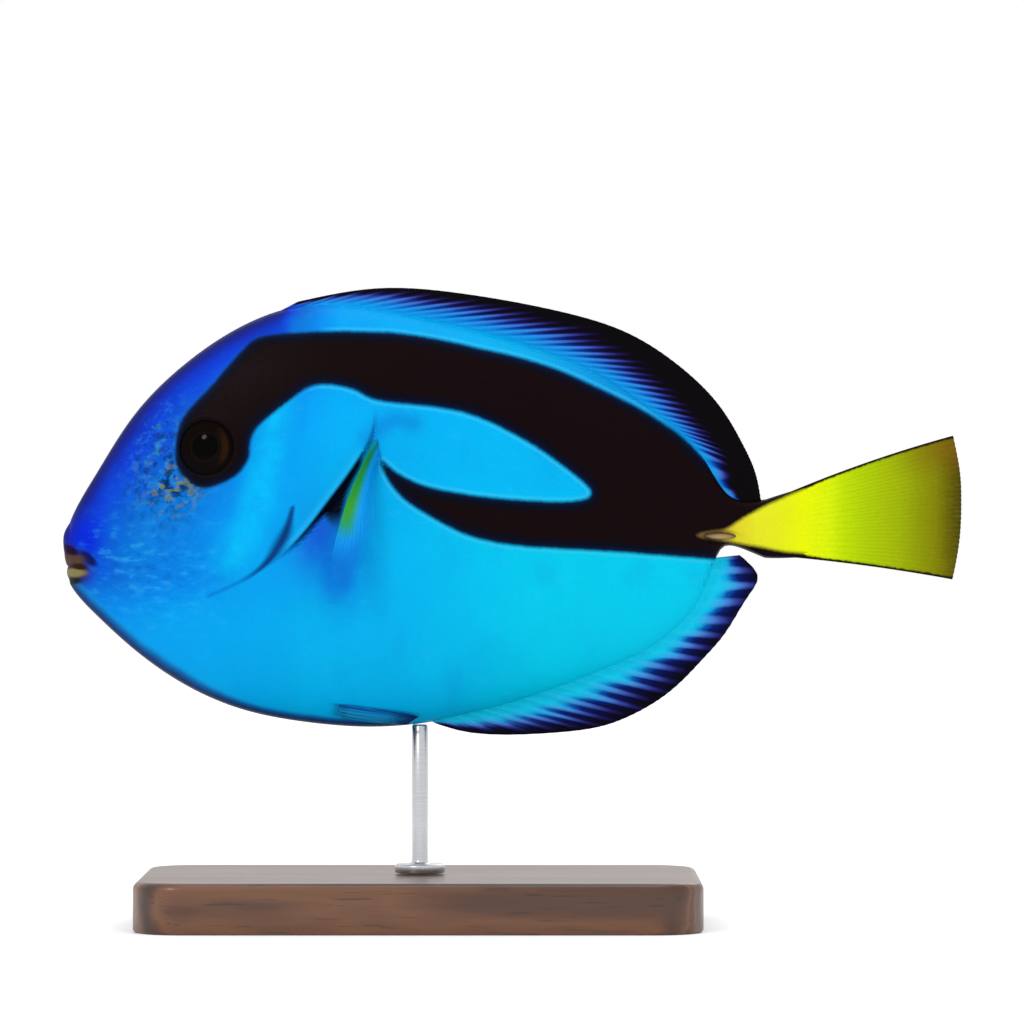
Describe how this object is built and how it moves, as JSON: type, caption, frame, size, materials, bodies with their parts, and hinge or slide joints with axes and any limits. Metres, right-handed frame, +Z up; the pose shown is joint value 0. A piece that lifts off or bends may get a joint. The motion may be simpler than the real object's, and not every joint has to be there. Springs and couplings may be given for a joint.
{
  "type": "regal blue tang model",
  "caption": "Deep, flat-sided blue reef fish with a palette-shaped dark mark and yellow tail, held level above a plain display base on a thin rod.",
  "frame": {"origin": "centre of the underside of the whole model's bounding box, on the floor", "axes": "+X from the snout towards the tail, +Y towards the fish's right side, +Z up"},
  "size_m": [0.1797, 0.066, 0.1273],
  "materials": {
    "skin": "fine-scaled satin",
    "dark_skin": "fine-scaled satin",
    "fin_membrane": "satin",
    "tail_membrane": "satin",
    "eye": "wet gloss",
    "spine": "satin",
    "base_wood": "satin varnish",
    "rod_steel": "brushed"
  },
  "bodies": {
    "root": {"head": "skin", "torso": "skin", "tail_stalk": "dark_skin", "dorsal_fin": "fin_membrane", "anal_fin": "fin_membrane", "tail_fin": "tail_membrane", "pectoral_fin_left": "fin_membrane", "pectoral_fin_right": "fin_membrane", "pelvic_fin_left": "fin_membrane", "pelvic_fin_right": "fin_membrane", "eye_left": "eye", "eye_right": "eye", "tail_spine_left": "spine", "tail_spine_right": "spine", "stand_base": "base_wood", "stand_rod": "rod_steel"}
  },
  "joints": []
}
